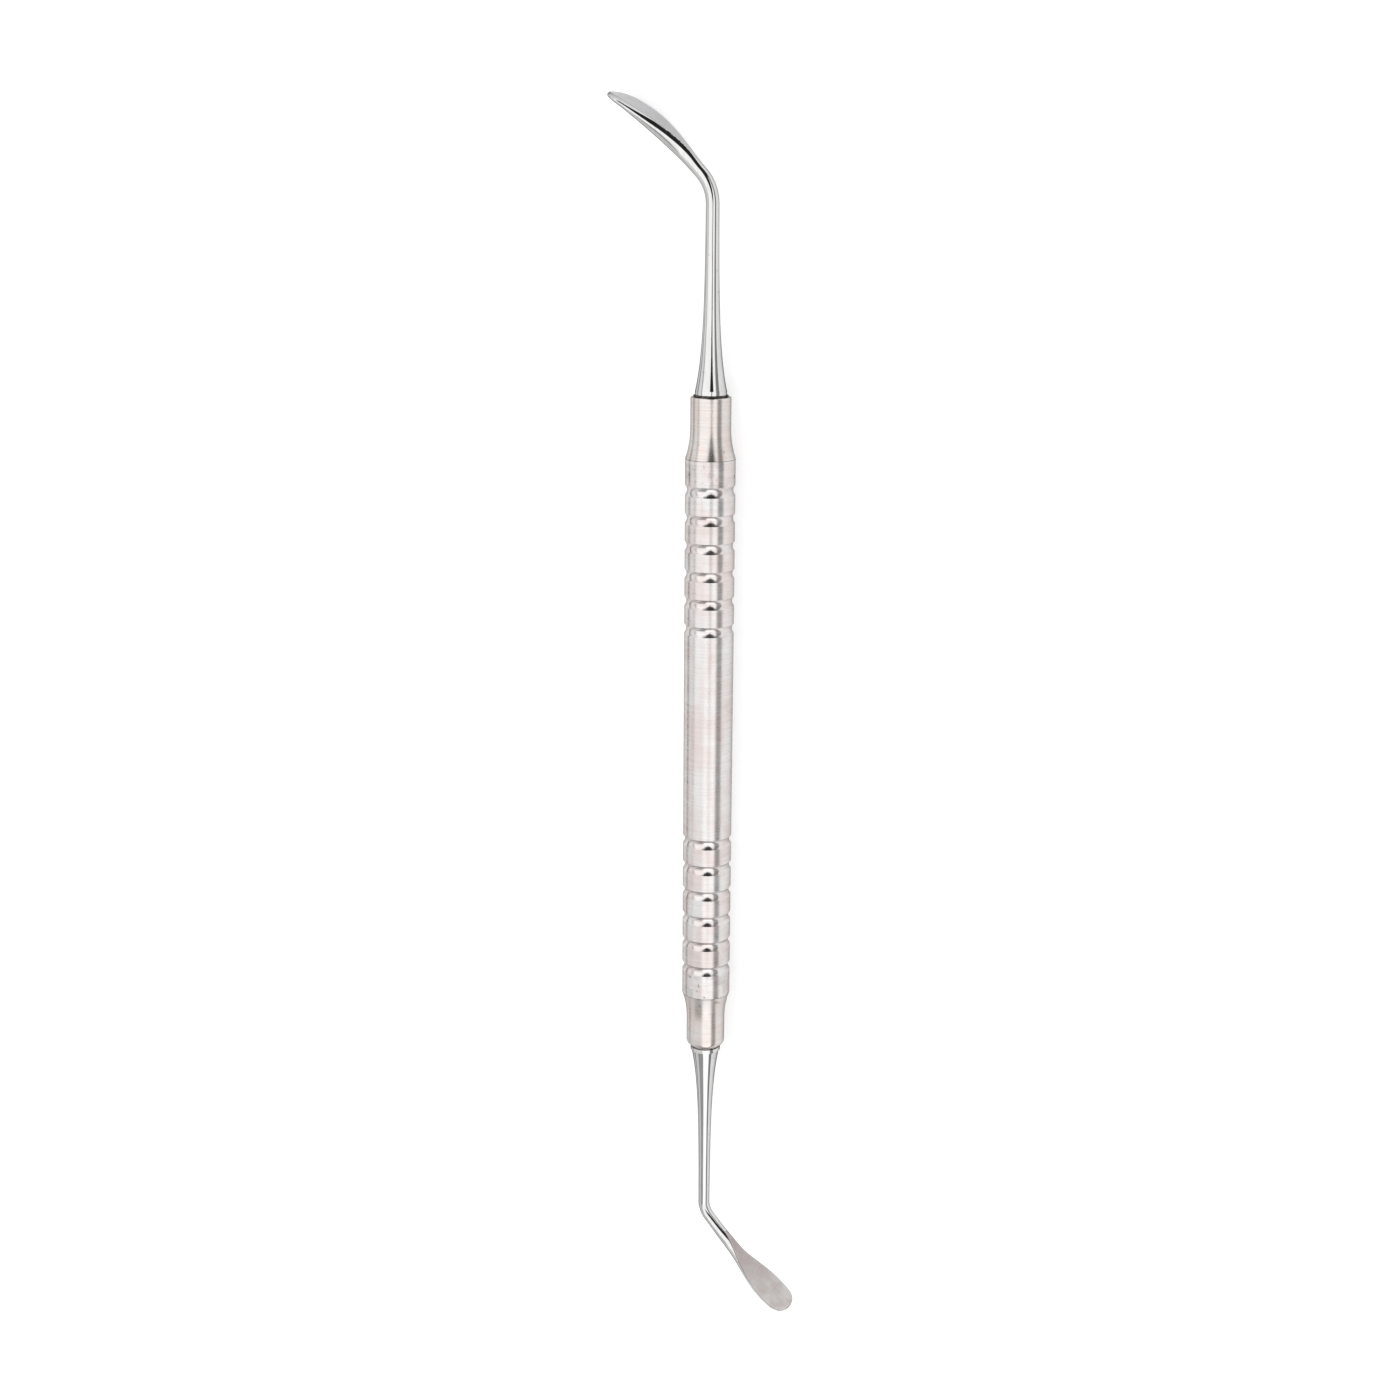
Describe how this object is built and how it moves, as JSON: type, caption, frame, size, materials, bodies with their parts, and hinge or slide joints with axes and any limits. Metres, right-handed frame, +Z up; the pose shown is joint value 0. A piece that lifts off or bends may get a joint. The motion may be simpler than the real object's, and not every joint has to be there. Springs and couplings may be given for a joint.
{
  "type": "hand scaler",
  "caption": "Double-ended steel dental hand instrument with a round grooved handle, necked ends and leaf-shaped blades bent to opposite sides.",
  "frame": {"origin": "on the resting surface, under the middle of the instrument's bounding box", "axes": "+Y along the handle towards the end whose blade has its flat face on the outside of the bend, +X towards the side that the other blade bends to, +Z up from the resting surface"},
  "size_m": [0.0302, 0.1728, 0.0074],
  "materials": {
    "satin_steel": "satin, turned round",
    "turned_steel": "fine turned, bright",
    "braze": "dark, dull",
    "polished_steel": "mirror polish with satin blade faces"
  },
  "bodies": {
    "root": {"handle_tube": "satin_steel", "upper_nose": "turned_steel", "lower_nose": "turned_steel", "upper_seam_ring": "braze", "lower_seam_ring": "braze", "upper_working_end": "polished_steel", "lower_working_end": "polished_steel"}
  },
  "joints": []
}
